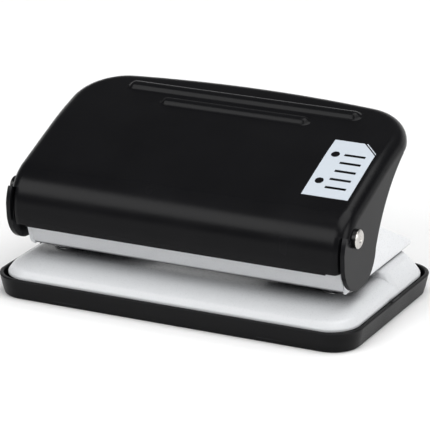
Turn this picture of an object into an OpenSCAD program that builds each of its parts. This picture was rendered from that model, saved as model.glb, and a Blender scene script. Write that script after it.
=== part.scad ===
// Two-hole office punch: a painted steel handle hinged on a painted steel frame, over a
// pressed base plate with two dies, standing in a plastic chip tray.
// Millimetres. X runs along the length, -Y faces the paper slot, +Z is up.
// The origin is the centre of the tray's underside.

/* [Chip tray] */
// Length of the tray at its rim
tray_l = 106.8; // [106:0.2:110]
// Depth of the tray at its rim, front to back
tray_d = 60.2; // [60:0.2:63]
// Height of the tray's rim
tray_h = 5.8; // [5.4:0.1:6.2]
// Corner radius of the tray's rim in plan
tray_r = 8.6; // [8:0.2:10]
// Thickness of the tray's floor
tray_floor = 1.2; // [1:0.1:2]

/* [Base plate] */
// Height of the paper table
table_z = 9.8; // [9.5:0.1:10]
// Height of the platform that the frame is riveted to
deck_z = 12.1; // [12:0.1:12.6]
// Distance from the punch centres back to the paper stop
paper_stop = 12; // [11:0.5:12]
// Thickness of the base plate's sheet
plate_t = 1.2; // [1:0.1:1.4]

/* [Frame] */
// Thickness of the frame's sheet
frame_t = 1.0; // [0.9:0.1:1.2]
// Half the frame's width over its ears
ear_x = 47.1; // [46.8:0.1:47.2]
// Half the length of the slot's front flange
flange_x = 45.9; // [44:0.1:45.9]
// Half the width of the window in the frame's floor
window_x = 19; // [10:1:24]

/* [Punches] */
// Distance between the two punch centres
punch_pitch = 80; // [79:1:81]
// Front-to-back place of the punches
punch_y = -7.7; // [-8:0.1:-7.4]
// Radius of a punch
punch_r = 3.0; // [2.75:0.05:3]
// Height of a punch's tip when it is up
tip_z = 12.4; // [12.3:0.1:12.6]
// Height of a punch's head when it is up
head_z = 28.9; // [28.5:0.1:29]

/* [Handle] */
// Half the handle's length over its cheeks
cheek_x = 49.6; // [49.4:0.1:50]
// Thickness of the handle's sheet
handle_t = 1.2; // [1:0.1:1.2]
// Radius of the bend between the handle's top and its cheeks
bend_r = 3.5; // [3:0.1:4]
// Radius of the handle's nose
nose_r = 12.5; // [12.4:0.1:12.8]
// Front-to-back place of the pivot
pivot_y = -19.1; // [-19.3:0.1:-18.9]
// Height of the pivot
pivot_z = 28.7; // [28.5:0.1:28.9]
// Radius of the pivot shaft
shaft_r = 2.6; // [2.4:0.1:2.6]

/* [Hidden] */
$fn = 96;
eps = 0.01;
run_gap = 0.05;              // radial clearance of a running fit

punch_x = punch_pitch / 2;
stop_y = punch_y + paper_stop;

// Chip tray
tray_draft = 1.2;
tray_wall = 1.1;
ledge_z = 5.1;

// Base plate: [height, half length, front, rear, corner radius] of its crown
skirt_z = 5.3;
skirt_x = tray_l / 2 - 1.8;
skirt_y = tray_d / 2 - 1.8;
table_levels = [
    [skirt_z, skirt_x, -skirt_y, skirt_y, tray_r],
    [tray_h + 0.1, skirt_x, -skirt_y, skirt_y, tray_r],
    [7.7, skirt_x - 1.2, 1.2 - skirt_y, skirt_y - 1.3, 8],
    [9.1, skirt_x - 3.2, -21.5, skirt_y - 2.7, 6.5],
    [table_z, skirt_x - 5, -16.8, skirt_y - 3.9, 5]
];
deck_levels = [
    [skirt_z, skirt_x, skirt_y, tray_r],
    [tray_h + 0.1, skirt_x, skirt_y, tray_r],
    [8.6, skirt_x - 1.4, skirt_y - 1.9, 7.5],
    [11.2, skirt_x - 3.2, skirt_y - 4.9, 5.5],
    [deck_z, skirt_x - 4.4, skirt_y - 6.1, 4.5]
];

// Dies
die_r = 4.5;
die_flange_r = 6;
die_foot_z = 6.4;
die_rim = 0.3;               // height and chamfer of the rim over the table

// Frame
flange_lean = 27;            // lean of the slot flange from upright, degrees
flange_foot = [-17.1, deck_z + 0.4];   // where its front face would meet the floor unbent
foot_bend_r = 2;             // outer radius of the bend at its foot
lip_bend_r = 0.8;            // inner radius of the bend under its lip
lip_z = 19.9;
lip_y = -23.6;
foot_c = flange_bend(deck_z + foot_bend_r, -foot_bend_r);
lip_c = flange_bend(lip_z - lip_bend_r, lip_bend_r);
ear_boss_r = 3.7;
washer_r = 3.4;
ear_rear = [23.9, 13.25];    // centre of the ear's rear corner
ear_rear_r = 1.2;
ear_ridge = [-12.5, 32.2];   // where the ear's top edge starts to fall
frame_rear_y = 21.8;
window_front_y = -13;

// Guides
guide_r = 4.4;
guide_spigot_r = 3.9;
guide_flange_r = 5.6;
guide_top = 18;

// Punch fittings
clip_t = 0.8;
clip_z = 27.2;
groove_r = 2.4;
punch_clip_r = 4.8;
washer_t = 0.5;
notch_h = 1.5;               // depth of the notch across a punch's tip

// Springs
wire_r = 0.3;
coil_r = 3.75;
coil_turns = 5;
coil_low = guide_top + wire_r + 0.05;
coil_high = clip_z - washer_t - wire_r - 0.05;

// Rivets
rivet_r = 1.6;
rivet_head_r = 3;
rivet_spots = [[-36, 8.5], [36, 8.5], [-36, 18], [36, 18]];

// Handle profile in the Y-Z plane
nose_c = [-13.5, 24.43];
nose_slope = 21.95;          // slope of the top behind the nose, degrees
knee = [2.6, 44.4];          // where the top's slope eases
rear_slope = 16.2;
rear_c = [24.6, 47.14];      // centre of the rear bend
corner_r = 15;               // rear corner radius in plan
bow = 0.0015;                // curvature of the rear edge in plan: distance forward per X squared
slit_z = 30.3;               // top of the slit between front wall and cheek
wall_low = 19.6;             // lower edge of the front wall
wall_x = 48;                 // half length of the front wall
skirt_h = 4.2;               // depth of the turned-down rear and side edge
relief_x = 43.9;             // notch under the front wall's ends
relief_h = 0.4;
lobe_c = [-15.9, 23.6];
lobe_r = 9.9;
heel_c = [-13.8, 22.4];
heel_r = 8.5;
scoop_c = [34.1, 6.15];      // centre of the cheek's concave rear edge
scoop_r = 42.4;
cheek_rear_y = 11.7;         // where a flat cheek runs into the rear corner
cheek_gap = 0.8;             // from a pivot washer to a cheek
// [distance back along Y, half length, half width, height] of the raised ribs
ribs = [[18.3, 34.9, 2.1, 1.0], [12.9, 22.4, 1.9, 0.9]];

// Press bar
nose_bar_r = 2;
press_gap = 0.3;
press_z = head_z + press_gap + nose_bar_r;
press_x = 44.5;
press_t = 1.6;

// Shaft
shaft_x = cheek_x + 1.4;
shaft_clip_r = 4;
shaft_clip_groove = 2.1;
shaft_clip_x = ear_x - frame_t - 1;

black = [0.05, 0.05, 0.055];
white = [0.9, 0.91, 0.92];
steel = [0.75, 0.75, 0.77];

// ---------------------------------------------------------------- helpers

// A thin slab with rounded corners, from y0 to y1
module slab(z, hx, y0, y1, r) {
    for (x = [r - hx, hx - r], y = [y0 + r, y1 - r])
        translate([x, y, z]) cylinder(h = eps, r = r, $fn = 32);
}

// A slab with a square front edge at y0 and rounded rear corners
module square_front_slab(z, hx, y0, y1, r) {
    translate([-hx, y0, z]) cube([2 * hx, eps, eps]);
    for (x = [r - hx, hx - r])
        translate([x, y1 - r, z]) cylinder(h = eps, r = r, $fn = 32);
}

// Keeps a smooth shell's size and makes it a single body before bores are cut in it
module one_shell() {
    resize([0, 0, 0]) children();
}

// Extrudes a shape drawn in the Y-Z plane from x0 to x1
module along_x(x0, x1) {
    translate([x0, 0, 0]) rotate([90, 0, 90]) linear_extrude(x1 - x0) children();
}

// A cylinder along X, from x0 to x1
module rod_x(x0, x1, r) {
    translate([x0, 0, 0]) rotate([0, 90, 0]) cylinder(h = x1 - x0, r = r);
}

module at_pivot() {
    translate([0, pivot_y, pivot_z]) children();
}

module at_punch(side) {
    translate([side * punch_x, punch_y, 0]) children();
}

// A flat ring with a gap on one side, such as a snap ring
module snap_ring(r_out, r_in, t) {
    difference() {
        cylinder(h = t, r = r_out);
        translate([0, 0, -1]) cylinder(h = t + 2, r = r_in);
        translate([0, -r_in * 0.8, -1]) cube([r_out + 1, r_in * 1.6, t + 2]);
    }
}

// Points of a line in the Y-Z plane, moved a distance along its normal
function shifted(p, slope, d) = [p.x - d * sin(slope), p.y + d * cos(slope)];
// Centre of a bend of the slot flange, at a height and a distance in front of its face
function flange_bend(z, ahead) =
    [flange_foot.x - (ahead + (z - flange_foot.y) * sin(flange_lean)) / cos(flange_lean), z];
// Points of an arc from angle a to angle b
function arc(c, r, a, b, steps = 10) =
    [for (i = [0 : steps]) let (t = a + (b - a) * i / steps) c + r * [cos(t), sin(t)]];
// Height of the straight top between nose and knee, a depth d below its outside
function top_z(y, d) = knee.y + (y - knee.x) * tan(nose_slope) - d / cos(nose_slope);

// ---------------------------------------------------------------- chip tray

module tray_levels(z0, z1, inset) {
    hull() {
        for (k = [0, 1]) {
            grow = tray_draft * (k - 1) - inset;
            slab([z0, z1][k], tray_l / 2 + grow, -tray_d / 2 - grow, tray_d / 2 + grow, tray_r + grow);
        }
    }
}

module chip_tray() {
    color(black) {
        difference() {
            tray_levels(0, tray_h - eps, 0);
            tray_levels(tray_floor, tray_h + eps, tray_wall);
        }
        // ledges that carry the base plate's skirt
        for (sx = [-1, 1], sy = [-1, 1]) {
            translate([sx * 30 - 4, sy * 28 - 1.1, tray_floor - eps])
                cube([8, 2.2, ledge_z - tray_floor]);
            translate([sx * 51.2 - 1.1, sy * 12 - 4, tray_floor - eps])
                cube([2.2, 8, ledge_z - tray_floor]);
        }
    }
}

// ---------------------------------------------------------------- base plate

module table_crown(t) {
    hull() for (l = table_levels)
        slab(l[0] - t, l[1] - t, l[2] + t, l[3] - t, l[4] - t);
}

module deck_crown(t) {
    hull() for (l = deck_levels)
        square_front_slab(l[0] - t, l[1] - t, stop_y + t, l[2] - t, l[3] - t);
}

// The pressed sheet before its holes are cut
module pressing() {
    one_shell() difference() {
        union() {
            table_crown(0);
            deck_crown(0);
        }
        table_crown(plate_t);
        deck_crown(plate_t);
        translate([-tray_l, -tray_d, 0]) cube([2 * tray_l, 2 * tray_d, skirt_z]);
    }
}

module base_plate() {
    color(white) difference() {
        pressing();
        for (side = [-1, 1]) at_punch(side) cylinder(h = table_z + 1, r = die_r);
        for (p = rivet_spots) translate(p) cylinder(h = deck_z + 1, r = rivet_r);
    }
}

module die(side) {
    color(steel) at_punch(side) rotate_extrude() polygon([
        [punch_r + 0.1, table_z + die_rim],
        [die_r - die_rim, table_z + die_rim],
        [die_r, table_z],
        [die_r, table_z - plate_t],
        [die_flange_r, table_z - plate_t],
        [die_flange_r, die_foot_z],
        [punch_r + 0.6, die_foot_z],
        [punch_r + 0.6, table_z - 1.8],
        [punch_r + 0.1, table_z - 1.8]
    ]);
}

// ---------------------------------------------------------------- frame

// Trough section of the frame across X: floor and two ears
module trough(half, floor_z, r) {
    translate([-half, floor_z + r]) square([2 * half, 24]);
    translate([r - half, floor_z]) square([2 * (half - r), r + eps]);
    for (x = [r - half, half - r]) translate([x, floor_z + r]) circle(r);
}

// Side view of an ear
module ear_side() {
    translate([pivot_y, pivot_z]) circle(ear_boss_r);
    translate(ear_rear) circle(ear_rear_r);
    polygon([
        [flange_foot.x, deck_z],
        [pivot_y - ear_boss_r + 0.1, pivot_z - 0.8],
        [pivot_y, pivot_z],
        [pivot_y + 0.8, pivot_z + ear_boss_r - 0.1],
        ear_ridge,
        ear_rear + [0.53, 1.077],
        ear_rear + [ear_rear_r, 0],
        [ear_rear.x, deck_z]
    ]);
}

// Section of the slot's front flange: it leans forward, then turns over into a stop lip
module flange_side() {
    lean = 180 + flange_lean;
    polygon(concat(
        [[foot_c.x + 1, deck_z]],
        arc(foot_c, foot_bend_r, 270, lean),
        arc(lip_c, lip_bend_r, flange_lean, 90),
        [[lip_y, lip_z], [lip_y, lip_z + frame_t]],
        arc(lip_c, lip_bend_r + frame_t, 90, flange_lean),
        arc(foot_c, foot_bend_r - frame_t, lean, 270),
        [[foot_c.x + 1, deck_z + frame_t]]
    ));
}

module frame() {
    color(white) difference() {
        union() {
            intersection() {
                translate([0, 40, 0]) rotate([90, 0, 0]) linear_extrude(80) difference() {
                    trough(ear_x, deck_z, 1.4);
                    trough(ear_x - frame_t, deck_z + frame_t, 0.4);
                }
                along_x(-ear_x, ear_x) ear_side();
                // the floor starts at the flange's bend and stops short of the ears' rear corners
                union() {
                    translate([-60, foot_c.x, 0]) cube([120, frame_rear_y - foot_c.x, 60]);
                    for (s = [-1, 1]) translate([s * 50.7 - 5, -40, 0]) cube([10, 80, 60]);
                }
            }
            along_x(-flange_x, flange_x) flange_side();
        }
        translate([-window_x, window_front_y, 0])
            cube([2 * window_x, stop_y + 2 - window_front_y, 20]);
        for (side = [-1, 1]) at_punch(side) cylinder(h = 20, r = guide_spigot_r);
        for (p = rivet_spots) translate(p) cylinder(h = 20, r = rivet_r);
        at_pivot() rod_x(-60, 60, shaft_r + run_gap);
    }
}

module frame_rivets() {
    under = deck_z - plate_t;
    top = deck_z + frame_t;
    color(steel) for (p = rivet_spots) translate(p) rotate_extrude() polygon([
        [0, under - 0.8],
        [rivet_r + 0.5, under - 0.8],
        [rivet_r + 0.8, under],
        [rivet_r, under],
        [rivet_r, top],
        [rivet_head_r, top],
        [rivet_head_r - 0.3, top + 0.6],
        [rivet_head_r - 1.2, top + 1],
        [0, top + 1.1]
    ]);
}

module guide(side) {
    color(steel) at_punch(side) rotate_extrude() polygon([
        [punch_r + run_gap, deck_z],
        [guide_spigot_r, deck_z],
        [guide_spigot_r, deck_z + frame_t],
        [guide_flange_r, deck_z + frame_t],
        [guide_flange_r, deck_z + frame_t + 0.8],
        [guide_r, deck_z + frame_t + 1.2],
        [guide_r, guide_top],
        [punch_r + run_gap, guide_top]
    ]);
}

module pivot_washer(side) {
    thick = cheek_x - handle_t - cheek_gap - ear_x;
    color("ivory") at_pivot() mirror([side < 0 ? 1 : 0, 0, 0]) difference() {
        rod_x(ear_x, ear_x + thick, washer_r);
        rod_x(ear_x - 1, ear_x + thick + 1, shaft_r + run_gap);
    }
}

// ---------------------------------------------------------------- springs

// One ring of the wire at a fraction t along the coil
function wire_ring(t, sides) =
    let (a = 360 * coil_turns * t, z = coil_low + (coil_high - coil_low) * t)
    [for (k = [0 : sides - 1])
        let (b = 360 * k / sides, r = coil_r + wire_r * cos(b))
        [r * cos(a), r * sin(a), z + wire_r * sin(b)]];

module coil(steps, sides) {
    rings = [for (i = [0 : steps]) each wire_ring(i / steps, sides)];
    last = steps * sides;
    walls = [for (i = [0 : steps - 1], k = [0 : sides - 1])
        let (a = i * sides, b = a + sides, n = (k + 1) % sides)
        each [[a + k, b + k, b + n], [a + k, b + n, a + n]]];
    polyhedron(
        points = rings,
        faces = concat(walls,
            [[for (k = [0 : sides - 1]) k]],
            [[for (k = [sides - 1 : -1 : 0]) last + k]]));
}

module spring(side) {
    color(steel) at_punch(side) coil(coil_turns * 20, 8);
}

// ---------------------------------------------------------------- punches

module punch(side) {
    color(steel) at_punch(side) difference() {
        rotate_extrude() polygon([
            [0, tip_z],
            [punch_r, tip_z],
            [punch_r, clip_z],
            [groove_r, clip_z],
            [groove_r, clip_z + clip_t],
            [punch_r, clip_z + clip_t],
            [punch_r, head_z - 0.4],
            [punch_r - 0.4, head_z],
            [0, head_z]
        ]);
        along_x(-5, 5) polygon([
            [-punch_r, tip_z - eps],
            [0, tip_z + notch_h],
            [punch_r, tip_z - eps]
        ]);
    }
}

module punch_clip(side) {
    color([0.3, 0.3, 0.32]) at_punch(side)
        translate([0, 0, clip_z]) rotate([0, 0, -90]) snap_ring(punch_clip_r, groove_r, clip_t);
}

module spring_washer(side) {
    color(steel) at_punch(side) translate([0, 0, clip_z - washer_t]) difference() {
        cylinder(h = washer_t, r = punch_clip_r);
        translate([0, 0, -1]) cylinder(h = washer_t + 2, r = punch_r + run_gap);
    }
}

// ---------------------------------------------------------------- handle

// Smooth outer form of the handle, or its inner form when inset by the sheet's thickness
module handle_form(t) {
    r = bend_r - t;
    hull() {
        // rounded-edge nose
        translate([0, nose_c.x, nose_c.y]) rotate([0, 90, 0]) for (s = [-1, 1])
            translate([0, 0, s * (cheek_x - bend_r)])
                rotate_extrude($fn = 56) translate([nose_r - bend_r, 0]) circle(r, $fn = 20);
        // knee
        knee_c = shifted(knee, (nose_slope + rear_slope) / 2, -bend_r);
        for (s = [-1, 1]) translate([s * (cheek_x - bend_r), knee_c.x, knee_c.y])
            sphere(r, $fn = 20);
        // rear corners, and the bowed edge between them
        translate([0, rear_c.x, rear_c.y]) rotate([rear_slope, 0, 0]) {
            corner_x = cheek_x - corner_r;
            for (s = [-1, 1])
                translate([s * corner_x, bend_r - corner_r - bow * corner_x * corner_x, 0])
                    rotate_extrude($fn = 40) translate([corner_r - bend_r, 0]) circle(r, $fn = 20);
            for (x = [-30 : 10 : 30])
                translate([x, -bow * x * x, 0]) sphere(r, $fn = 20);
        }
    }
}

// Strip of the side view that holds the top, its rear edge and the nose above the slit
module top_band_side() {
    under_knee = shifted(knee, (nose_slope + rear_slope) / 2, -skirt_h);
    under_rear = shifted(rear_c, rear_slope, bend_r - skirt_h);
    polygon([
        [nose_c.x - nose_r - 1, slit_z],
        [nose_c.x - 3, slit_z],
        [nose_c.x, slit_z + 2],
        under_knee,
        under_rear,
        under_rear + 10 * [cos(rear_slope), sin(rear_slope)],
        [rear_c.x + 10, 60],
        [nose_c.x - nose_r - 1, 60]
    ]);
}

// Side view of a cheek
module cheek_side() {
    difference() {
        polygon([
            [nose_c.x - 8, nose_c.y],
            shifted(nose_c, nose_slope, nose_r - bend_r),
            shifted(knee, nose_slope, -bend_r),
            [cheek_rear_y, 43.4],
            [cheek_rear_y, 41.5],
            [0, 24],
            heel_c
        ]);
        translate(scoop_c) circle(scoop_r, $fn = 240);
    }
    translate(nose_c) circle(nose_r - bend_r);
    translate(lobe_c) circle(lobe_r);
    translate(heel_c) circle(heel_r);
    intersection() {
        translate(nose_c) circle(nose_r);
        translate([nose_c.x - nose_r, nose_c.y]) square([nose_r, slit_z - nose_c.y]);
    }
}

module front_wall() {
    along_x(-wall_x, wall_x) intersection() {
        difference() {
            translate(nose_c) circle(nose_r);
            translate(nose_c) circle(nose_r - handle_t);
        }
        translate([nose_c.x - nose_r - 1, wall_low])
            square([nose_r, slit_z + eps - wall_low]);
    }
}

module rib(r) {
    slope = rear_slope;
    top = knee.y + (r[0] - knee.x) * tan(slope);
    translate([0, r[0], top]) rotate([slope, 0, 0]) hull() for (s = [-1, 1])
        translate([s * (r[1] - r[2]), 0, -0.1]) scale([1, 1, (r[3] + 0.1) / r[2]])
            sphere(r[2], $fn = 28);
}

// The handle's top with its bends and its turned-down rear edge
module handle_top() {
    one_shell() union() {
        difference() {
            handle_form(0);
            handle_form(handle_t);
            // open everywhere below the top band and outside the cheeks
            difference() {
                translate([-60, -60, -10]) cube([120, 120, 100]);
                along_x(-60, 60) top_band_side();
                for (s = [-1, 1]) translate([s * (cheek_x - bend_r / 2), 0, 0])
                    along_x(-bend_r / 2, bend_r / 2) intersection() {
                        cheek_side();
                        translate([-40, slit_z]) square([80, 30]);
                    }
            }
        }
        for (r = ribs) rib(r);
    }
}

module handle() {
    color(black) difference() {
        union() {
            handle_top();
            for (s = [-1, 1]) translate([s * (cheek_x - handle_t / 2), 0, 0])
                along_x(-handle_t / 2, handle_t / 2) cheek_side();
            front_wall();
        }
        for (s = [-1, 1]) translate([s * (relief_x + 4) - 4, -40, wall_low - 1])
            cube([8, 20, relief_h + 1]);
        at_pivot() rod_x(-60, 60, shaft_r);
    }
}

module press_bar() {
    z = function(y) top_z(y, handle_t);
    web_front = punch_y - press_t / 2;
    web_rear = punch_y + press_t / 2;
    color(steel) {
        along_x(-press_x, press_x) translate([punch_y, press_z]) circle(nose_bar_r);
        along_x(-press_x, press_x) polygon([
            [web_front, press_z],
            [web_front, z(web_front) - 1.2],
            [web_front - 4, z(web_front - 4) - 1.2],
            [web_front - 4, z(web_front - 4)],
            [web_rear + 4, z(web_rear + 4)],
            [web_rear + 4, z(web_rear + 4) - 1.2],
            [web_rear, z(web_rear) - 1.2],
            [web_rear, press_z]
        ]);
    }
}

module pivot_shaft() {
    color(steel) at_pivot() rotate([0, 90, 0]) rotate_extrude() polygon(concat(
        [[0, -shaft_x], [shaft_r - 0.4, -shaft_x], [shaft_r, 0.4 - shaft_x]],
        [for (s = [-1, 1]) let (c = s * (shaft_clip_x + clip_t / 2), h = clip_t / 2)
            each [[shaft_r, c - h], [shaft_clip_groove, c - h],
                  [shaft_clip_groove, c + h], [shaft_r, c + h]]],
        [[shaft_r, shaft_x - 0.4], [shaft_r - 0.4, shaft_x], [0, shaft_x]]
    ));
}

module shaft_clip(side) {
    color([0.3, 0.3, 0.32]) at_pivot() mirror([side < 0 ? 1 : 0, 0, 0])
        translate([shaft_clip_x, 0, 0]) rotate([0, 90, 0])
            snap_ring(shaft_clip_r, shaft_clip_groove, clip_t);
}

// ---------------------------------------------------------------- nodes

chip_tray();
base_plate();
die(-1);  // die_left
die(1);  // die_right
frame();
frame_rivets();
guide(-1);  // guide_left
guide(1);  // guide_right
pivot_washer(-1);  // pivot_washer_left
pivot_washer(1);  // pivot_washer_right
spring(-1);  // spring_left
spring(1);  // spring_right
handle();
press_bar();
pivot_shaft();
shaft_clip(-1);  // shaft_clip_left
shaft_clip(1);  // shaft_clip_right
punch(-1);  // punch_left
punch(1);  // punch_right
punch_clip(-1);  // punch_clip_left
punch_clip(1);  // punch_clip_right
spring_washer(-1);  // spring_washer_left
spring_washer(1);  // spring_washer_right
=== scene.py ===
import math

import bmesh
import bpy
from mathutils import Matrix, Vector


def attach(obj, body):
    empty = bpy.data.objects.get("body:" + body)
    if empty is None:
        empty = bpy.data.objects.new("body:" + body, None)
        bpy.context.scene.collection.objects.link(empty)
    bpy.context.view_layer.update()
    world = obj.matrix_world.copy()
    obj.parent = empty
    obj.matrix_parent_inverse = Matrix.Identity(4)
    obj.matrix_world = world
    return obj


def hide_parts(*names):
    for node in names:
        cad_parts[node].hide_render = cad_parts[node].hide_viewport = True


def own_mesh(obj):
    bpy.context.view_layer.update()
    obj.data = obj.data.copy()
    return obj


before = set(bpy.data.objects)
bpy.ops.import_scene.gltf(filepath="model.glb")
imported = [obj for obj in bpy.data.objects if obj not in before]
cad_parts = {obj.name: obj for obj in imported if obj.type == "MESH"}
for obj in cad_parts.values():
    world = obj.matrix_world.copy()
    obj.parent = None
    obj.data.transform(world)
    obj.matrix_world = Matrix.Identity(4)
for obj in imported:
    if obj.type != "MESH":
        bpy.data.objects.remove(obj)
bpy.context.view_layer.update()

MM = 0.001
SIDES = (("left", -1), ("right", 1))

# ------------------------------------------------------------------ sizes, in millimetres
# Handle: its side profile is the nose circle, a slope, a knee and a flatter rear slope.
CHEEK_X, SHEET, BEND = 49.6, 1.2, 3.5
NOSE_Y, NOSE_Z, NOSE_R = -13.5, 24.43, 12.5
SLOPE, REAR_SLOPE = math.radians(21.95), math.radians(16.2)
KNEE_Y, KNEE_R, PAST_KNEE = 2.6, 120.0, 40.0
REAR_Y = 24.6
CORNER_R, BOW = 15.0, 0.0015  # rear corners in plan, and how much the rear edge bows
SLIT_Z, WALL_Z, RELIEF_Z, RELIEF_X, WALL_X = 30.3, 19.6, 20.0, 43.9, 48.0
HEM = 0.75  # how far the rear bend goes straight down past its quarter turn
EDGE = 0.16  # rounding of the sheet's free edges
COLUMNS, BEND_TURNS = 250, 8  # faces across the handle's top and over its bend
# Spacing of the top's rows: plain, at the ribs and before the corners, and round the corners
ROW, FINE_ROW, ARC_ROW = 0.6, 0.2, 0.3
# Cheek's free edge: centre (y, z), radius, and start and end in degrees of each arc
SCOOP, SCOOP_R, SCOOP_ARC = (34.1, 6.15), 42.4, (120.4, 158.4)
HEEL, HEEL_R, HEEL_ARC = (-13.8, 22.4), 8.5, (-4.5, -90.8)
LOBE, LOBE_R, LOBE_ARC = (-15.9, 23.6), 9.9, (-80, -171)
NOSE_START = 175
# Raised ribs: centre back along Y, half length, half width, height
RIBS = ((18.3, 34.9, 2.2, 1.3), (12.9, 22.4, 2.05, 1.2))
RIB_FLANK = 0.62  # share of the half width that slopes
RIB_FOOT, RIB_CREST, RIB_BACK = 0.08, 0.2, 0.55  # how softly each edge is rounded
# Printed mark: centre across and along the slope, half sizes, folded corner and line width
MARK_X, MARK_S, MARK_HALF_X, MARK_HALF_S, MARK_FOLD, MARK_LINE = 39.0, 11.6, 6.6, 11.8, 3.8, 0.5
MARK_HOLE_X, MARK_HOLES, MARK_HOLE_R = -4.0, (-5.6, 5.6), 1.2
MARK_RULES, MARK_RULE_X, MARK_RULE_HALF = (-7.8, -4.4, -1.0, 2.4, 5.8), 1.5, (3.0, 0.45)
# Chip tray
TRAY_X, TRAY_Y, TRAY_Z, TRAY_R, DRAFT, WALL = 53.4, 30.1, 5.8, 8.6, 1.2, 1.1
RECESS, RECESS_IN = 0.45, 5.6  # depth of the hollow under the tray, and how far in it starts
# Radii of the foot, the lip's outside and its inside, the floor's height and its fillet's radius
TRAY_FOOT_R, LIP_OUT_R, LIP_IN_R, TRAY_FLOOR_Z, FILLET = 0.5, 0.34, 0.32, 1.2, 0.7
INSET = 0.02  # keeps the lip inside the CAD tray's sides
# Its ledges and catches: centre x and y, half sizes along x and y
LONG_LEDGE, END_LEDGE, CATCH = (30, 28, 4, 1.1), (51.2, 12, 1.1, 4), (52.75, 0.8, 0.4, 2.4)
LEDGE_Z, CATCH_Z = (1.1, 5.1), (4.6, 6.25)
# Base plate, as the table under the paper and the raised deck behind it. Each level's height,
# half length, front, rear and corner radius, and how far the bend there is eased
TABLE = (
    (5.3, 51.6, -28.3, 28.3, 8.6, 0.0),
    (5.9, 51.6, -28.3, 28.3, 8.6, 0.5),
    (7.7, 50.4, -27.1, 27.0, 8.0, 0.8),
    (9.1, 48.4, -21.5, 25.6, 6.5, 1.2),
    (9.8, 46.6, -16.8, 24.4, 5.0, 0.6),
)
DECK = (
    (5.3, 51.6, 4.3, 28.3, 8.6, 0.0),
    (5.9, 51.6, 4.3, 28.3, 8.6, 0.5),
    (8.6, 50.2, 4.3, 26.4, 7.5, 0.9),
    (11.2, 48.4, 4.3, 23.4, 5.5, 0.7),
    (12.1, 47.2, 4.9, 22.2, 4.5, 0.3),
)
PLATE = 1.2
STOP_R = 2.6  # radius in plan of the platform's front corners
HOLLOW_Z = 2.0  # below the skirt, so that the plate is open underneath
PUNCH_X, PUNCH_Y, DIE_R = 40.0, -7.7, 4.5
SEAT_LOW, SEAT_HIGH = 6, 11  # the cut for a die
# Pivot shaft, with a shallow dimple in each end and a groove for each snap ring
PIVOT_Y, PIVOT_Z = -19.1, 28.7
SHAFT_END, SHAFT_R, SHAFT_CUT = 51.0, 2.6, 0.35
DIMPLE, DIMPLE_IN, DIMPLE_OUT = 0.25, 0.9, 1.1
GROOVE_X, GROOVE_R, GROOVE_HALF = 45.5, 2.1, 0.4
# Springs, and how far the punch slide's limit shortens them
SPRING_R, WIRE_R, SPRING_LOW, SPRING_HIGH = 3.75, 0.32, 18.03, 26.68
SPRING_TURNS, CLOSED_TURNS = 6.6, 0.9


# ------------------------------------------------------------------ mesh helpers

def piece(name, bm, smooth=40.0):
    """A new object from a bmesh in millimetres. Edges sharper than smooth degrees stay crisp."""
    bmesh.ops.scale(bm, vec=(MM, MM, MM), verts=bm.verts)
    mesh = bpy.data.meshes.new(name)
    bm.to_mesh(mesh)
    bm.free()
    obj = bpy.data.objects.new(name, mesh)
    bpy.context.scene.collection.objects.link(obj)
    shade(mesh, smooth)
    return obj


def shade(mesh, smooth=40.0):
    for polygon in mesh.polygons:
        polygon.use_smooth = True
    mesh.set_sharp_from_angle(angle=math.radians(smooth))


def bake(obj, smooth=40.0):
    """Apply an object's modifiers to its mesh."""
    graph = bpy.context.evaluated_depsgraph_get()
    mesh = bpy.data.meshes.new_from_object(obj.evaluated_get(graph))
    obj.modifiers.clear()
    old = obj.data
    obj.data = mesh
    bpy.data.meshes.remove(old)
    shade(mesh, smooth)
    return obj


def flatten_shading(obj):
    """Keep the flat faces' shading flat beside rounded edges."""
    m = obj.modifiers.new("normals", "WEIGHTED_NORMAL")
    m.keep_sharp = True


def ease_edges(obj, width, angle=35.0, smooth=40.0, weighted=True):
    """Round the edges sharper than angle degrees."""
    m = obj.modifiers.new("edges", "BEVEL")
    m.width, m.segments = width * MM, 2
    m.limit_method, m.angle_limit = "ANGLE", math.radians(angle)
    m.use_clamp_overlap = True
    bake(obj, smooth)
    if weighted:
        flatten_shading(obj)
    return obj


def weld(obj):
    """Close slivers: very short edges are collapsed, and faces left without width go."""
    gap = 0.006 * MM
    bm = bmesh.new()
    bm.from_mesh(obj.data)
    bmesh.ops.remove_doubles(bm, verts=bm.verts, dist=gap)
    bmesh.ops.dissolve_degenerate(bm, dist=gap, edges=bm.edges)
    bm.to_mesh(obj.data)
    bm.free()
    shade(obj.data, 50)


def boolean(obj, other, operation):
    m = obj.modifiers.new("cut", "BOOLEAN")
    m.object, m.operation, m.solver = other, operation, "EXACT"
    bake(obj)
    bpy.data.objects.remove(other)
    return obj


def ringed(rings, bm=None):
    """Quads between closed rings of equal length, with a face over each end."""
    bm = bm or bmesh.new()
    rows = [[bm.verts.new(p) for p in ring] for ring in rings]
    n = len(rows[0])
    for a, b in zip(rows, rows[1:]):
        for i in range(n):
            bm.faces.new((a[i], a[(i + 1) % n], b[(i + 1) % n], b[i]))
    bm.faces.new(rows[0][::-1])
    bm.faces.new(rows[-1])
    return bm


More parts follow.
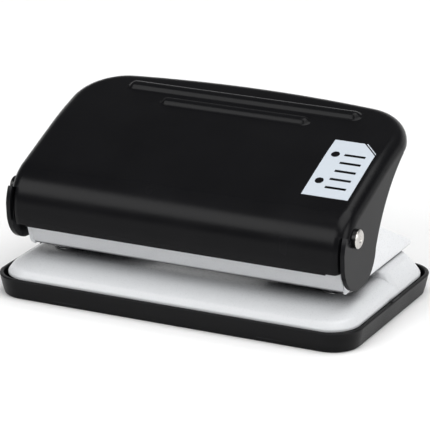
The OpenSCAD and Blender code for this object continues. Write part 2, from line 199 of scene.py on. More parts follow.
def rounded_box_ring(z, hx, y0, y1, r, front_r=None, arc=12, straight=5):
    """A level rounded rectangle, counter-clockwise from above."""
    f = r if front_r is None else front_r
    points = []
    corners = (
        (hx - f, y0 + f, f, -90), (hx - r, y1 - r, r, 0),
        (r - hx, y1 - r, r, 90), (f - hx, y0 + f, f, 180),
    )
    for cx, cy, cr, start in corners:
        for i in range(arc + 1):
            a = math.radians(start + 90 * i / arc)
            points.append((cx + cr * math.cos(a), cy + cr * math.sin(a)))
    ring = []
    for i, (x, y) in enumerate(points):
        ring.append((x, y, z))
        if i % (arc + 1) == arc:
            nx, ny = points[(i + 1) % len(points)]
            for k in range(1, straight):
                t = k / straight
                ring.append((x + (nx - x) * t, y + (ny - y) * t, z))
    return ring


def eased(levels, inset=0.0, steps=5):
    """Levels with each inner one replaced by a short curve, all moved inwards by inset."""
    rows = [[v[0] - inset, v[1] - inset, v[2] + inset, v[3] - inset, v[4] - 0.6 * inset, v[5]]
            for v in levels]
    out = [rows[0][:5]]
    for before, here, after in zip(rows, rows[1:], rows[2:]):
        reach = here[5]

        def towards(other):
            gap = math.hypot(*(other[k] - here[k] for k in range(4)))
            t = min(0.5, reach / gap)
            return [here[k] + (other[k] - here[k]) * t for k in range(5)]

        a, b = towards(before), towards(after)
        for i in range(steps + 1):
            t = i / steps
            out.append([
                (1 - t) ** 2 * a[k] + 2 * t * (1 - t) * here[k] + t * t * b[k] for k in range(5)
            ])
    out.append(rows[-1][:5])
    return out


def turned(profile, centre, axis="Z"):
    """Revolve a (radius, height) profile that starts and ends on the axis."""
    steps = 64
    bm = bmesh.new()

    def place(r, h, a):
        u, v = r * math.cos(a), r * math.sin(a)
        p = (u, v, h) if axis == "Z" else (h, u, v)
        return tuple(c + d for c, d in zip(centre, p))

    rows = []
    for r, h in profile:
        if r == 0:
            rows.append([bm.verts.new(place(0, h, 0))])
        else:
            rows.append([bm.verts.new(place(r, h, 2 * math.pi * i / steps)) for i in range(steps)])
    faces = []
    for a, b in zip(rows, rows[1:]):
        for i in range(steps):
            j = (i + 1) % steps
            if len(a) == 1:
                faces.append(bm.faces.new((a[0], b[j], b[i])))
            elif len(b) == 1:
                faces.append(bm.faces.new((a[i], a[j], b[0])))
            else:
                faces.append(bm.faces.new((a[i], a[j], b[j], b[i])))
    bmesh.ops.recalc_face_normals(bm, faces=faces)
    return bm


def from_cad(name, node, body, slot_name, material, bevel, angle=35.0):
    """A copy of a CAD node's mesh with its sharp edges rounded."""
    bm = bmesh.new()
    bm.from_mesh(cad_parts[node].data)
    bmesh.ops.remove_doubles(bm, verts=bm.verts, dist=1e-6)
    bmesh.ops.dissolve_limit(bm, angle_limit=math.radians(0.4), verts=bm.verts, edges=bm.edges)
    bmesh.ops.scale(bm, vec=(1 / MM,) * 3, verts=bm.verts)
    obj = piece(name, bm)
    ease_edges(obj, bevel, angle=angle)
    return finish_piece(obj, body, material, node)


def finish_piece(obj, body, material, node):
    """Give a piece its material and its body, and hide the CAD node that it stands for."""
    obj.data.materials.clear()
    obj.data.materials.append(material)
    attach(obj, body)
    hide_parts(node)
    return obj


# ------------------------------------------------------------------ materials

class Graph:
    """A small helper for building a material's nodes."""

    def __init__(self, name):
        self.material = bpy.data.materials.new(name)
        self.material.use_nodes = True
        self.tree = self.material.node_tree
        self.shader = self.tree.nodes["Principled BSDF"]
        self.point = self.add("ShaderNodeTexCoord").outputs["Object"]

    def add(self, kind, **values):
        node = self.tree.nodes.new(kind)
        for key, value in values.items():
            setattr(node, key, value)
        return node

    def link(self, source, target):
        if isinstance(source, (int, float)):
            target.default_value = source
        else:
            self.tree.links.new(source, target)

    def math(self, operation, a, b=0.0):
        node = self.add("ShaderNodeMath", operation=operation)
        for source, target in zip((a, b), node.inputs):
            self.link(source, target)
        return node.outputs[0]

    def split(self, vector):
        """The three components of a vector."""
        node = self.add("ShaderNodeSeparateXYZ")
        self.link(vector, node.inputs[0])
        return node.outputs

    def distance(self, a, b):
        return self.math("SQRT", self.math("ADD", self.math("MULTIPLY", a, a),
                                           self.math("MULTIPLY", b, b)))

    def within(self, value, half):
        """1 where a value is less than half away from zero."""
        return self.math("LESS_THAN", self.math("ABSOLUTE", value), half)

    def scaled(self, x, y, z, source=None):
        node = self.add("ShaderNodeMapping")
        node.inputs["Scale"].default_value = (x, y, z)
        self.link(source or self.point, node.inputs["Vector"])
        return node.outputs[0]

    def noise(self, scale, detail=3.0, roughness=0.5, source=None):
        node = self.add("ShaderNodeTexNoise")
        node.inputs["Scale"].default_value = scale
        node.inputs["Detail"].default_value = detail
        node.inputs["Roughness"].default_value = roughness
        self.link(source or self.point, node.inputs["Vector"])
        return node.outputs["Fac"]

    def spread(self, fac, low, high, out_low, out_high):
        node = self.add("ShaderNodeMapRange")
        for key, value in (("From Min", low), ("From Max", high),
                           ("To Min", out_low), ("To Max", out_high)):
            node.inputs[key].default_value = value
        self.link(fac, node.inputs["Value"])
        return node.outputs[0]

    def mix(self, fac, a, b):
        node = self.add("ShaderNodeMix", data_type="RGBA")
        self.link(fac, node.inputs[0])
        for source, target in ((a, node.inputs[6]), (b, node.inputs[7])):
            if isinstance(source, tuple):
                target.default_value = (*source, 1.0)
            else:
                self.link(source, target)
        return node.outputs[2]

    def bump(self, height, distance, strength=1.0, over=None):
        node = self.add("ShaderNodeBump")
        node.inputs["Distance"].default_value = distance
        node.inputs["Strength"].default_value = strength
        self.link(height, node.inputs["Height"])
        if over is not None:
            self.link(over, node.inputs["Normal"])
        return node.outputs[0]

    def done(self, color, roughness, normal=None, specular=0.5, metallic=0.0):
        if isinstance(color, tuple):
            self.shader.inputs["Base Color"].default_value = (*color, 1.0)
        else:
            self.link(color, self.shader.inputs["Base Color"])
        self.link(roughness, self.shader.inputs["Roughness"])
        if normal is not None:
            self.link(normal, self.shader.inputs["Normal"])
        self.shader.inputs["Specular IOR Level"].default_value = specular
        self.shader.inputs["Metallic"].default_value = metallic
        return self.material


def edge_wear(g, reach=0.0):
    """How convex the surface is, for edges that look a little paler."""
    pointed = g.add("ShaderNodeNewGeometry").outputs["Pointiness"]
    return g.spread(pointed, 0.52 + reach, 0.62 + reach, 0.0, 1.0)


def facing(g, axis):
    """One component of the surface's direction."""
    return g.split(g.add("ShaderNodeNewGeometry").outputs["Normal"])[axis]


def black_paint():
    g = Graph("black_paint")
    peel = g.noise(1500, 2.0, 0.45)
    fine = g.noise(9000, 2.0, 0.5)
    cloud = g.noise(55, 3.0)
    normal = g.bump(fine, 0.000012, 0.35, g.bump(peel, 0.00003, 0.35))
    patches = g.spread(cloud, 0.3, 0.7, 0.0, 1.0)
    base = g.mix(patches, (0.0036, 0.0036, 0.0042), (0.0046, 0.0046, 0.0053))
    base = g.mix(g.math("MULTIPLY", edge_wear(g, 0.02), 0.35), base, (0.02, 0.02, 0.022))
    ink = mark(g)
    color = g.mix(ink, base, (0.46, 0.50, 0.545))
    rough = g.math("ADD", g.spread(cloud, 0.3, 0.7, 0.235, 0.275), g.math("MULTIPLY", ink, 0.16))
    return g.done(color, rough, normal, specular=0.1)


def mark(g):
    """A plain pictogram of a punched sheet, printed on the slope: 1 where there is ink."""
    across, back, up = g.split(g.point)[:3]
    along = g.math("ADD", g.math("MULTIPLY", back, math.cos(SLOPE)),
                   g.math("MULTIPLY", up, math.sin(SLOPE)))
    x = g.math("SUBTRACT", across, MARK_X * MM)
    s = g.math("SUBTRACT", along, MARK_S * MM)
    page = g.math("MULTIPLY", g.within(x, MARK_HALF_X * MM), g.within(s, MARK_HALF_S * MM))
    # folded corner, with the fold's line beside it
    reach = (MARK_HALF_X + MARK_HALF_S - MARK_FOLD) * MM
    corner = g.math("SUBTRACT", g.math("ADD", x, s), reach)
    page = g.math("MULTIPLY", page, g.math("LESS_THAN", corner, 0.0))
    fold = g.within(g.math("ADD", corner, 1.3 * MARK_LINE * MM), 0.5 * MARK_LINE * MM)
    page = g.math("MULTIPLY", page, g.math("SUBTRACT", 1.0, fold))
    for place in MARK_HOLES:
        d = g.distance(g.math("SUBTRACT", x, MARK_HOLE_X * MM), g.math("SUBTRACT", s, place * MM))
        page = g.math("MULTIPLY", page, g.math("GREATER_THAN", d, MARK_HOLE_R * MM))
    # ruled lines across the sheet
    half_x, half_s = MARK_RULE_HALF
    for place in MARK_RULES:
        rule = g.math("MULTIPLY",
                      g.within(g.math("SUBTRACT", s, place * MM), half_s * MM),
                      g.within(g.math("SUBTRACT", x, MARK_RULE_X * MM), half_x * MM))
        page = g.math("MULTIPLY", page, g.math("SUBTRACT", 1.0, rule))
    return g.math("MULTIPLY", page, g.math("GREATER_THAN", facing(g, 2), 0.5))


def white_paint(name, tone):
    """Smooth white paint of the given tone, with painted shade on undersides and under other parts.
    """
    g = Graph(name)
    peel = g.noise(900, 1.0, 0.4)
    speck = g.noise(2500, 2.0)
    normal = g.bump(peel, 0.000005, 0.3)
    pale, dim = (tuple(tone * f * c for c in (1.0, 1.018, 1.04)) for f in (1.0, 0.99))
    base = g.mix(g.spread(speck, 0.3, 0.7, 0.0, 1.0), dim, pale)
    base = g.mix(g.math("MULTIPLY", edge_wear(g, 0.03), 0.2), base, (0.72, 0.72, 0.73))
    # painted shade: faces that turn down are painted dark grey
    base = g.mix(g.spread(facing(g, 2), -0.8, -0.4, 1.0, 0.0), base, (0.1, 0.1, 0.11))
    # painted shade: level stretches are darkened where a part covers them from less than this many
    # millimetres
    cover = 7
    open_sky = g.add("ShaderNodeAmbientOcclusion", samples=8)
    open_sky.inputs["Distance"].default_value = cover * MM
    painted_shade = g.spread(open_sky.outputs["AO"], 0.12, 0.7, 0.8, 0.0)
    level = g.spread(facing(g, 2), 0.6, 0.95, 0.0, 1.0)
    base = g.mix(g.math("MULTIPLY", painted_shade, level), base, (0.05, 0.054, 0.062))
    rough = g.spread(speck, 0.3, 0.7, 0.27, 0.29)
    return g.done(base, rough, normal, specular=0.25)


def tray_plastic():
    g = Graph("tray_plastic")
    grain = g.noise(5200, 3.0, 0.6)
    cloud = g.noise(60, 3.0)
    flow = g.noise(30, 2.0, source=g.scaled(1, 4, 8))
    normal = g.bump(grain, 0.00004, 0.5)
    streaks = g.spread(flow, 0.35, 0.65, 0.0, 1.0)
    base = g.mix(streaks, (0.0045, 0.0045, 0.005), (0.006, 0.006, 0.0066))
    base = g.mix(g.math("MULTIPLY", edge_wear(g), 0.5), base, (0.04, 0.04, 0.043))
    return g.done(base, g.spread(cloud, 0.3, 0.7, 0.30, 0.38), normal, specular=0.1)


def steel(name, axis, base, low, high):
    """Turned steel: fine rings around the axis, with a slight variation in tone."""
    g = Graph(name)
    if axis == "Z":
        stretched = g.scaled(150, 150, 9000)
    else:
        across, back, up = g.split(g.point)[:3]
        radius = g.distance(g.math("SUBTRACT", back, PIVOT_Y * MM),
                            g.math("SUBTRACT", up, PIVOT_Z * MM))
        joined = g.add("ShaderNodeCombineXYZ")
        g.link(across, joined.inputs[0])
        g.link(radius, joined.inputs[1])
        stretched = g.scaled(5000, 9000, 1, joined.outputs[0])
    rings = g.noise(1.0, 3.0, 0.6, stretched)
    cloud = g.noise(300, 3.0)
    color = g.mix(g.spread(cloud, 0.3, 0.7, 0.0, 1.0), base, tuple(c * 0.86 for c in base))
    if axis == "X":
        # painted shade: the side is painted nearly black, and the ends stay bright
        end = g.spread(g.math("ABSOLUTE", facing(g, 0)), 0.3, 0.6, 0.0, 1.0)
        color = g.mix(end, (0.03, 0.03, 0.03), color)
    rough = g.math("ADD", g.spread(rings, 0.35, 0.65, low, high),
                   g.spread(cloud, 0.3, 0.7, 0.0, 0.05))
    return g.done(color, rough, g.bump(rings, 0.00001, 0.4), metallic=1.0)


def nylon():
    g = Graph("nylon")
    cloud = g.noise(500, 3.0)
    base = g.mix(cloud, (0.66, 0.65, 0.6), (0.74, 0.73, 0.69))
    normal = g.bump(g.noise(6000, 2.0), 0.00002, 0.3)
    return g.done(base, g.spread(cloud, 0.3, 0.7, 0.42, 0.5), normal)


BLACK = black_paint()
# The base's paint gets a darker tone and the frame's a paler one, as painted shade and painted
# light: both parts have one white paint.
BASE_WHITE_SHADED = white_paint("white_paint", 0.595)
FRAME_WHITE_LIT = white_paint("frame_white_paint_lit", 0.77)
PLASTIC = tray_plastic()
STEEL_Z = steel("bare_steel", "Z", (0.62, 0.62, 0.63), 0.22, 0.34)
STEEL_X = steel("shaft_steel", "X", (0.62, 0.60, 0.57), 0.2, 0.34)
SPRUNG = steel("spring_steel", "Z", (0.55, 0.55, 0.56), 0.18, 0.3)
DARK = steel("dark_steel", "Z", (0.16, 0.16, 0.17), 0.3, 0.42)
NYLON = nylon()


# ------------------------------------------------------------------ chip tray

def corner_arc(r, start, end, steps=4):
    """Points of an arc about the origin, from start to end in degrees."""
    for i in range(steps + 1):
        a = math.radians(start + (end - start) * i / steps)
        yield r * math.cos(a), r * math.sin(a)


def tray():
    """Moulded tray: a standing rim under it, drafted walls, a rounded lip and a flat floor."""
    def out(z):
        return DRAFT * (1 - z / TRAY_Z)

    # (distance in from the tray's sides, height), from under the floor round to its top
    foot = out(0) + TRAY_FOOT_R
    lip, inner = LIP_OUT_R + INSET, WALL - LIP_IN_R
    fillet = WALL + out(TRAY_FLOOR_Z) + FILLET
    profile = [(RECESS_IN + 0.8, RECESS), (RECESS_IN + 0.3, RECESS), (RECESS_IN, 0.0), (foot, 0.0)]
    profile += [(foot - u, TRAY_FOOT_R + v) for u, v in corner_arc(TRAY_FOOT_R, -90, 0)][1:]
    profile += [(out(z), z) for z in (2.0, 3.6, 5.0)]
    profile += [(lip - u, TRAY_Z - lip + v) for u, v in corner_arc(LIP_OUT_R, 0, 90)]
    profile += [(inner - u, TRAY_Z - LIP_IN_R + v) for u, v in corner_arc(LIP_IN_R, 90, 180)]
    profile += [(WALL + out(z), z) for z in (4.6, 3.0, 2.1)]
    profile += [(fillet - u, TRAY_FLOOR_Z + FILLET + v) for u, v in corner_arc(FILLET, 0, -90)]
    rings = [
        rounded_box_ring(z, TRAY_X - d, d - TRAY_Y, TRAY_Y - d, TRAY_R - 0.8 * d, arc=14)
        for d, z in profile
    ]
    bm = ringed(rings)
    # ledges that carry the base plate's skirt, and the catch in the middle of each end
    for _, sx in SIDES:
        for sy in (-1, 1):
            block(bm, sx, sy, *LONG_LEDGE, *LEDGE_Z)
            block(bm, sx, sy, *END_LEDGE, *LEDGE_Z)
        block(bm, sx, 1, *CATCH, *CATCH_Z)
    obj = piece("tray_moulding", bm, 50)
    flatten_shading(obj)
    return finish_piece(obj, "tray", PLASTIC, "chip_tray")


def block(bm, sx, sy, x, y, hx, hy, z0, z1):
    """A small block with a bevelled top, closed on itself, at x and y on the given sides."""
    bevel, brow, corner = 0.25, 0.07, 0.3
    rings = []
    for z, cut in ((z0, 0.0), (z1 - bevel, 0.0), (z1 - brow, brow), (z1, bevel)):
        ring = rounded_box_ring(z, hx - cut, cut - hy, hy - cut, corner, arc=3, straight=1)
        rings.append([(px + sx * x, py + sy * y, pz) for px, py, pz in ring])
    ringed(rings, bm=bm)


# ------------------------------------------------------------------ base plate

def pressing(levels, inset, front_r=None):
    """One raised area of the base plate, as a closed solid. A hollow one reaches below the skirt."""
    rows = eased(levels, inset, steps=7)
    if inset:
        rows.insert(0, [HOLLOW_Z] + rows[0][1:])
    rings = [
        rounded_box_ring(z, hx, y0, y1, r, front_r and front_r - inset, arc=18, straight=8)
        for z, hx, y0, y1, r in rows
    ]
    return piece("pressing", ringed(rings))


def base_plate():
    plate, hollow = (
        boolean(pressing(TABLE, inset), pressing(DECK, inset, STOP_R), "UNION")
        for inset in (0.0, PLATE)
    )
    boolean(plate, hollow, "DIFFERENCE")
    for _, s in SIDES:
        seat = ((0, SEAT_LOW), (DIE_R, SEAT_LOW), (DIE_R, SEAT_HIGH), (0, SEAT_HIGH))
        bm = turned(seat, (s * PUNCH_X, PUNCH_Y, 0))
        boolean(plate, piece("seat", bm), "DIFFERENCE")
    plate.name = "base_pressing"
    ease_edges(plate, 0.18, angle=50, weighted=False)
    return finish_piece(plate, "base", BASE_WHITE_SHADED, "base_plate")


# ------------------------------------------------------------------ handle

def profile_frame(s):
    """Point and direction of the handle's side profile, s mm along it from the point where the
    nose's circle meets the slope. Negative s goes down the nose."""
    ty, tz = NOSE_Y - NOSE_R * math.sin(SLOPE), NOSE_Z + NOSE_R * math.cos(SLOPE)
    if s <= 0:
        a = SLOPE - s / NOSE_R
        return (NOSE_Y - NOSE_R * math.sin(a), NOSE_Z + NOSE_R * math.cos(a)), a
    turn = SLOPE - REAR_SLOPE
    reach = KNEE_R * math.tan(turn / 2)
    run = (KNEE_Y - ty) / math.cos(SLOPE) - reach
    if s <= run:
        return (ty + s * math.cos(SLOPE), tz + s * math.sin(SLOPE)), SLOPE
    y, z = ty + run * math.cos(SLOPE), tz + run * math.sin(SLOPE)
    bend = KNEE_R * turn
    a = SLOPE - min(s - run, bend) / KNEE_R
    cy, cz = y + KNEE_R * math.sin(SLOPE), z - KNEE_R * math.cos(SLOPE)
    y, z = cy - KNEE_R * math.sin(a), cz + KNEE_R * math.cos(a)
    rest = max(0.0, s - run - bend)
    return (y + rest * math.cos(a), z + rest * math.sin(a)), a


def s_at_rear(y):
    """How far along the profile the rear slope reaches y."""
    (y0, _), _ = profile_frame(PAST_KNEE)
    return PAST_KNEE + (y - y0) / math.cos(REAR_SLOPE)


def blend(a, b, reach, side):
    """The lower (side 1) or the higher (side -1) of two heights, rounded where they meet."""
    over = max(reach - abs(a - b), 0.0) ** 2 / (4 * reach)
    return min(a, b) - over if side > 0 else max(a, b) + over


def rib_height(x, s):
    """How far the ribs stand above the plain sheet."""
    total = 0.0
    for y, half, w, h in RIBS:
        ds = s - s_at_rear(y)
        dx = max(0.0, abs(x) - (half - w))
        q = math.hypot(dx, ds) / w
        t = (1 - q) / RIB_FLANK
        # a straight flank with a tight foot; its crest is rounder towards the rear
        turn = ds / (q * w) if q else 1.0
        crest = RIB_CREST + (RIB_BACK - RIB_CREST) * (1 + turn) / 2
        total = max(total, h * blend(blend(t, 1.0, crest, 1), 0.0, RIB_FOOT, -1))
    return total


def surface(x, s):
    """A point on the handle's top."""
    (y, z), a = profile_frame(s)
    h = rib_height(x, s)
    return x, y - h * math.sin(a), z + h * math.cos(a)


def rolled(x, s, mx, ms, angle, drop=0.0):
    """A point on the bend that starts at (x, s) and turns down in the direction (mx, ms)."""
    (y, z), a = profile_frame(s)
    out, down = BEND * math.sin(angle), BEND * (1 - math.cos(angle)) + drop
    return (x + mx * out,
            y + ms * out * math.cos(a) + down * math.sin(a),
            z + ms * out * math.sin(a) - down * math.cos(a))


def handle_rows():
    """Where each row of the top ends on its right: x, s and the outward direction there."""
    slit = -NOSE_R * (math.acos((SLIT_Z - NOSE_Z) / NOSE_R) - SLOPE)
    rear = s_at_rear(REAR_Y - BEND * math.sin(REAR_SLOPE))
    half, r = CHEEK_X - BEND, CORNER_R - BEND
    cx = half - r
    # the corner's arc meets the bowed rear edge where both have one direction, a little beyond
    # the arc's centre
    beyond = 1.2
    lean = math.atan(2 * BOW * (cx + beyond))
    tx = cx + r * math.sin(lean)
    cs = rear - BOW * tx * tx - r * math.cos(lean)
    rows = []
    s = slit
    while s < cs - 0.05:
        rows.append((half, s, 1.0, 0.0))
        near_rib = any(abs(s - s_at_rear(y)) < w + 2 * FINE_ROW for y, _, w, _ in RIBS)
        s += FINE_ROW if near_rib or s > cs - 6 * ROW else ROW
    straight = len(rows)
    # evenly spaced rows up to 60 degrees round the arc (0.86 is just under that angle's sine),
    # and then one every 3 degrees
    angles = [math.asin(ARC_ROW * k / r) for k in range(int(0.86 * r / ARC_ROW))]
    angles += [math.radians(3 * k) for k in range(20, 29)]
    for a in [a for a in angles if a < math.pi / 2 - lean - 0.01]:
        rows.append((cx + r * math.cos(a), cs + r * math.sin(a), math.cos(a), math.sin(a)))
    n = math.hypot(2 * BOW * tx, 1)
    rows.append((tx, rear - BOW * tx * tx, 2 * BOW * tx / n, 1 / n))
    return rows, straight


def cheek_outline():
    """The cheek's free edge, from its top rear corner round to the top of the front slit."""
    def arc(c, r, start, end, steps):
        return [(c[0] + r * math.cos(math.radians(start + (end - start) * i / steps)),
                 c[1] + r * math.sin(math.radians(start + (end - start) * i / steps)))
                for i in range(steps + 1)]

    front = 90 + math.degrees(math.acos((SLIT_Z - NOSE_Z) / NOSE_R))
    edge = arc(SCOOP, SCOOP_R, *SCOOP_ARC, 26)
    edge += arc(HEEL, HEEL_R, *HEEL_ARC, 18)[1:]
    edge += arc(LOBE, LOBE_R, *LOBE_ARC, 22)
    edge += arc((NOSE_Y, NOSE_Z), NOSE_R, NOSE_START, front, 8)
    return edge


def handle():
    """The bent sheet as a surface, then given its thickness."""
    bm = bmesh.new()
    rows, straight = handle_rows()
    spots = [2 * c / COLUMNS - 1 for c in range(COLUMNS + 1)]
    grid = [[bm.verts.new(surface(x * t, s)) for t in spots] for x, s, _, _ in rows]
    # the bowed rear edge starts and ends where the corners' arcs end
    tx, rear = rows[-1][0], rows[-1][1] + BOW * rows[-1][0] ** 2
    bowed = [(tx * t, rear - BOW * (tx * t) ** 2) for t in spots[1:-1]]
    grid.append([grid[-1][0]] + [bm.verts.new(surface(x, s)) for x, s in bowed] + [grid[-1][-1]])
    for a, b in zip(grid, grid[1:]):
        for c in range(COLUMNS):
            corners = dict.fromkeys((a[c], a[c + 1], b[c + 1], b[c]))
            bm.faces.new(corners)
    # the bend all round, from the right slit over the rear edge to the left slit
    around = list(rows)
    for x, s in bowed[::-1]:
        n = math.hypot(2 * BOW * x, 1)
        around.append((x, s, 2 * BOW * x / n, 1 / n))
    around += [(-x, s, -mx, ms) for x, s, mx, ms in rows[::-1]]
    ends = [row[-1] for row in grid[:-1]] + grid[-1][-2:0:-1] + [row[0] for row in grid[-2::-1]]
    strips = [ends]
    for k in range(1, BEND_TURNS + 1):
        angle = math.pi / 2 * k / BEND_TURNS
        strips.append([bm.verts.new(rolled(*spot, angle)) for spot in around])
    for a, b in zip(strips, strips[1:]):
        for i in range(len(around) - 1):
            bm.faces.new((a[i], b[i], b[i + 1], a[i + 1]))
    # the turned-down edge behind the cheeks
    lower = strips[-1][straight:-straight]
    hem = [bm.verts.new(rolled(*spot, math.pi / 2, HEM)) for spot in around[straight:-straight]]
    for i in range(len(lower) - 1):
        bm.faces.new((lower[i], hem[i], hem[i + 1], lower[i + 1]))
    for side, top, corner in ((1, strips[-1][: straight + 1], hem[0]),
                              (-1, strips[-1][: -straight - 2 : -1], hem[-1])):
        edge = [bm.verts.new((side * CHEEK_X, y, z)) for y, z in cheek_outline()]
        bm.faces.new(top + [corner] + edge)
        wall(bm, side)
    bmesh.ops.remove_doubles(bm, verts=bm.verts, dist=0.004)
    bmesh.ops.recalc_face_normals(bm, faces=bm.faces)
    bm.faces.ensure_lookup_table()
    top = max(bm.faces, key=lambda f: f.calc_center_median().z)
    if top.normal.z < 0:
        bmesh.ops.reverse_faces(bm, faces=bm.faces)
    obj = piece("handle_shell", bm, 60)
    m = obj.modifiers.new("thickness", "SOLIDIFY")
    m.thickness, m.offset, m.use_even_offset = SHEET * MM, -1.0, True
    weld(bake(obj, 60))
    weld(ease_edges(obj, EDGE, angle=60, smooth=50))
    return finish_piece(obj, "lever", BLACK, "handle")


def wall(bm, side):
    """Half of the front wall below the slits, with a rounded end and a relieved lower corner."""
    slit = math.acos((SLIT_Z - NOSE_Z) / NOSE_R)
    relief = math.acos((RELIEF_Z - NOSE_Z) / NOSE_R)
    low = math.acos((WALL_Z - NOSE_Z) / NOSE_R)
    end_r = WALL_X - (CHEEK_X - BEND)
    half = CHEEK_X - BEND
    inner = [half * (2 * c / COLUMNS - 1) for c in range(COLUMNS + 1)]
    inner = [x for x in inner if x * side >= -1e-9]
    inner.sort(key=abs)
    ends = [(half, 0.0)] + [
        (half + end_r * math.sin(a), end_r * (1 - math.cos(a)))
        for a in (math.pi / 2 * k / 5 for k in range(1, 6))
    ]
    across = [(abs(x), 0.0) for x in inner[:-1]] + ends

    def point(x, sink, a):
        r = NOSE_R - sink
        return side * x, NOSE_Y - r * math.sin(a), NOSE_Z + r * math.cos(a)

    steps = [slit + (relief - slit) * k / 14 for k in range(15)]
    rows = [[bm.verts.new(point(x, sink, a)) for x, sink in across] for a in steps]
    for a, b in zip(rows, rows[1:]):
        for c in range(len(across) - 1):
            face = (a[c], b[c], b[c + 1], a[c + 1])
            bm.faces.new(face if side > 0 else face[::-1])
    kept = [i for i, (x, _) in enumerate(across) if x <= RELIEF_X]
    last = [rows[-1][i] for i in kept]
    for k in (1, 2):
        a = relief + (low - relief) * k / 2
        row = [bm.verts.new(point(*across[i], a)) for i in kept]
        for c in range(len(kept) - 1):
            face = (last[c], row[c], row[c + 1], last[c + 1])
            bm.faces.new(face if side > 0 else face[::-1])
        last = row


# ------------------------------------------------------------------ pins, springs and small parts

def shaft():
    """Shaft with chamfered ends, a dimple in each, and two grooves."""
    end, r, cut = SHAFT_END, SHAFT_R, SHAFT_CUT
    tip = [(0, -end + DIMPLE), (DIMPLE_IN, -end + DIMPLE), (DIMPLE_OUT, -end),
           (r - cut, -end), (r, -end + cut)]
    profile = list(tip)
    for _, s in SIDES:
        near, far = s * GROOVE_X - GROOVE_HALF, s * GROOVE_X + GROOVE_HALF
        profile += [(r, near), (GROOVE_R, near), (GROOVE_R, far), (r, far)]
    profile += [(q, -h) for q, h in tip[::-1]]
    bm = turned(profile, (0, PIVOT_Y, PIVOT_Z), "X")
    obj = piece("pivot_pin", bm, 30)
    ease_edges(obj, 0.06, angle=30)
    return finish_piece(obj, "lever", STEEL_X, "pivot_shaft")


def spring(name, s):
    """A compression spring, with end turns that almost touch the turn beside them."""
    per_turn, sides = 40, 14
    low, high = SPRING_LOW + WIRE_R, SPRING_HIGH - WIRE_R
    pitch = 2.02 * WIRE_R
    open_turns = SPRING_TURNS - 2 * CLOSED_TURNS
    rise = (high - low - 2 * CLOSED_TURNS * pitch) / open_turns
    rings = []
    for i in range(int(SPRING_TURNS * per_turn) + 1):
        t = i / per_turn
        z = low + pitch * min(t, CLOSED_TURNS)
        z += rise * min(max(0.0, t - CLOSED_TURNS), open_turns)
        z += pitch * max(0.0, t - CLOSED_TURNS - open_turns)
        a = 2 * math.pi * t
        ring = []
        for k in range(sides):
            b = 2 * math.pi * k / sides
            r = SPRING_R + WIRE_R * math.cos(b)
            x, y = s * PUNCH_X + r * math.cos(a), PUNCH_Y + r * math.sin(a)
            ring.append((x, y, z + WIRE_R * math.sin(b)))
        rings.append(ring)
    bm = ringed(rings)
    bmesh.ops.recalc_face_normals(bm, faces=bm.faces)
    obj = piece("coil_" + name, bm, 60)
    finish_piece(obj, "base", SPRUNG, "spring_" + name)
    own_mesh(obj)


# Pieces copied from the CAD: piece, node, body, slot, material, rounding, and its angle if not 35
SINGLE_COPIES = (
    ("frame_pressing", "frame", "base", "white_paint", FRAME_WHITE_LIT, 0.2),
    ("rivets", "frame_rivets", "base", "bare_steel", STEEL_Z, 0.15, 30),
    ("pusher", "press_bar", "lever", "bare_steel", STEEL_Z, 0.15),
)
# The same for pieces found once on each side. A body whose name ends in _ is found there too.
SIDE_COPIES = (
    ("die_ring_", "die_", "base", "bare_steel", STEEL_Z, 0.12),
    ("punch_guide_", "guide_", "base", "bare_steel", STEEL_Z, 0.15),
    ("punch_pin_", "punch_", "punch_unit_", "bare_steel", STEEL_Z, 0.08),
    ("punch_ring_", "punch_clip_", "punch_unit_", "dark_steel", DARK, 0.1),
    ("spring_seat_", "spring_washer_", "punch_unit_", "bare_steel", STEEL_Z, 0.08),
    ("ear_washer_", "pivot_washer_", "base", "nylon", NYLON, 0.12),
    ("shaft_ring_", "shaft_clip_", "lever", "dark_steel", DARK, 0.1),
)

tray()
base_plate()
handle()
shaft()
for copy in SINGLE_COPIES:
    from_cad(*copy)
for side_name, sign in SIDES:
    for name, node, body, *look in SIDE_COPIES:
        body += side_name if body.endswith("_") else ""
        from_cad(name + side_name, node + side_name, body, *look)
    spring(side_name, sign)


# ------------------------------------------------------------------ studio

FLOOR_HALF, FLOOR_GAP = 3000, 0.05  # millimetres; the gap keeps the floor clear of the tray
# Lamps: place and aim in metres, size in metres, power in watts
LAMPS = (
    ("front_left", (-0.529, -0.903, 0.72), (0, 0, 0.02), (1.0, 0.6), 8.2),
    ("overhead", (0.35, -0.1, 1.5), (0, 0, 0), (1.6, 1.4), 27),
    ("side", (1.15, -0.25, 0.55), (0, 0, 0.02), (0.7, 0.6), 5.2),
)
ROOM_LIGHT = 0.15
# Camera: angles in degrees, distance and target in millimetres, lens and sensor in millimetres
AZIMUTH, ELEVATION, DISTANCE = math.radians(25.87), math.radians(19.03), 838.09
TARGET = (0.25, 0.0, 21.79)
LENS, SENSOR = 260.32, 36.0


def floor():
    """Pale paper, painted a little darker close to the object as a painted shadow round it."""
    bm = bmesh.new()
    bmesh.ops.create_grid(bm, x_segments=1, y_segments=1, size=FLOOR_HALF)
    obj = piece("floor", bm)
    g = Graph("floor_paper")
    reach = g.add("ShaderNodeVectorMath", operation="LENGTH")
    g.link(g.point, reach.inputs[0])
    # painted shadow: the paper's tone falls from 0.98 far off to 0.8 near the object
    tone = g.spread(reach.outputs["Value"], 0.1, 0.5, 0.8, 0.98)
    joined = g.add("ShaderNodeCombineColor")
    for socket in joined.inputs[:3]:
        g.link(tone, socket)
    obj.data.materials.append(g.done(joined.outputs[0], 0.7))
    obj.location.z = -FLOOR_GAP * MM


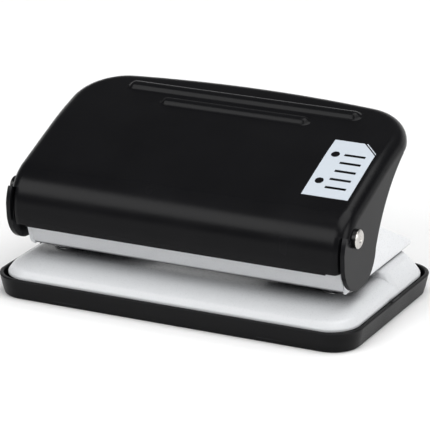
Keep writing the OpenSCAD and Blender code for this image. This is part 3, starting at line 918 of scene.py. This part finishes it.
def lamp(name, place, aim, size, power):
    data = bpy.data.lights.new(name, "AREA")
    data.shape, data.size, data.size_y = "RECTANGLE", *size
    data.energy = power
    obj = bpy.data.objects.new(name, data)
    bpy.context.scene.collection.objects.link(obj)
    obj.location = place
    obj.rotation_euler = (Vector(aim) - Vector(place)).to_track_quat("-Z", "Y").to_euler()


def backdrop():
    """A dim room with a pale wall low behind the object."""
    world = bpy.data.worlds.new("studio")
    world.use_nodes = True
    tree = world.node_tree
    split = tree.nodes.new("ShaderNodeSeparateXYZ")
    tree.links.new(tree.nodes.new("ShaderNodeTexCoord").outputs["Generated"], split.inputs[0])

    def ramp(axis, low, high, at_low, at_high):
        node = tree.nodes.new("ShaderNodeMapRange")
        for key, value in (("From Min", low), ("From Max", high),
                           ("To Min", at_low), ("To Max", at_high)):
            node.inputs[key].default_value = value
        tree.links.new(split.outputs[axis], node.inputs["Value"])
        return node.outputs[0]

    pale = tree.nodes.new("ShaderNodeMath")
    pale.operation = "MULTIPLY"
    tree.links.new(ramp(1, 0.1, 0.6, 0.0, 1.0), pale.inputs[0])
    tree.links.new(ramp(2, 0.2, 0.5, 1.0, 0.0), pale.inputs[1])
    total = tree.nodes.new("ShaderNodeMath")
    total.operation = "ADD"
    tree.links.new(pale.outputs[0], total.inputs[0])
    total.inputs[1].default_value = ROOM_LIGHT
    background = tree.nodes["Background"]
    background.inputs["Color"].default_value = (1, 1, 1, 1)
    tree.links.new(total.outputs[0], background.inputs["Strength"])
    bpy.context.scene.world = world


def camera():
    data = bpy.data.cameras.new("camera")
    data.sensor_width, data.lens = SENSOR, LENS
    data.clip_start, data.clip_end = 0.01, 50
    obj = bpy.data.objects.new("camera", data)
    bpy.context.scene.collection.objects.link(obj)
    offset = Vector((math.sin(AZIMUTH) * math.cos(ELEVATION),
                     -math.cos(AZIMUTH) * math.cos(ELEVATION), math.sin(ELEVATION)))
    obj.location = Vector(TARGET) * MM + offset * (DISTANCE * MM)
    obj.rotation_euler = (-offset).to_track_quat("-Z", "Y").to_euler()
    bpy.context.scene.camera = obj


floor()
for spec in LAMPS:
    lamp(*spec)
backdrop()
bpy.context.scene.view_settings.view_transform = "Standard"
camera()
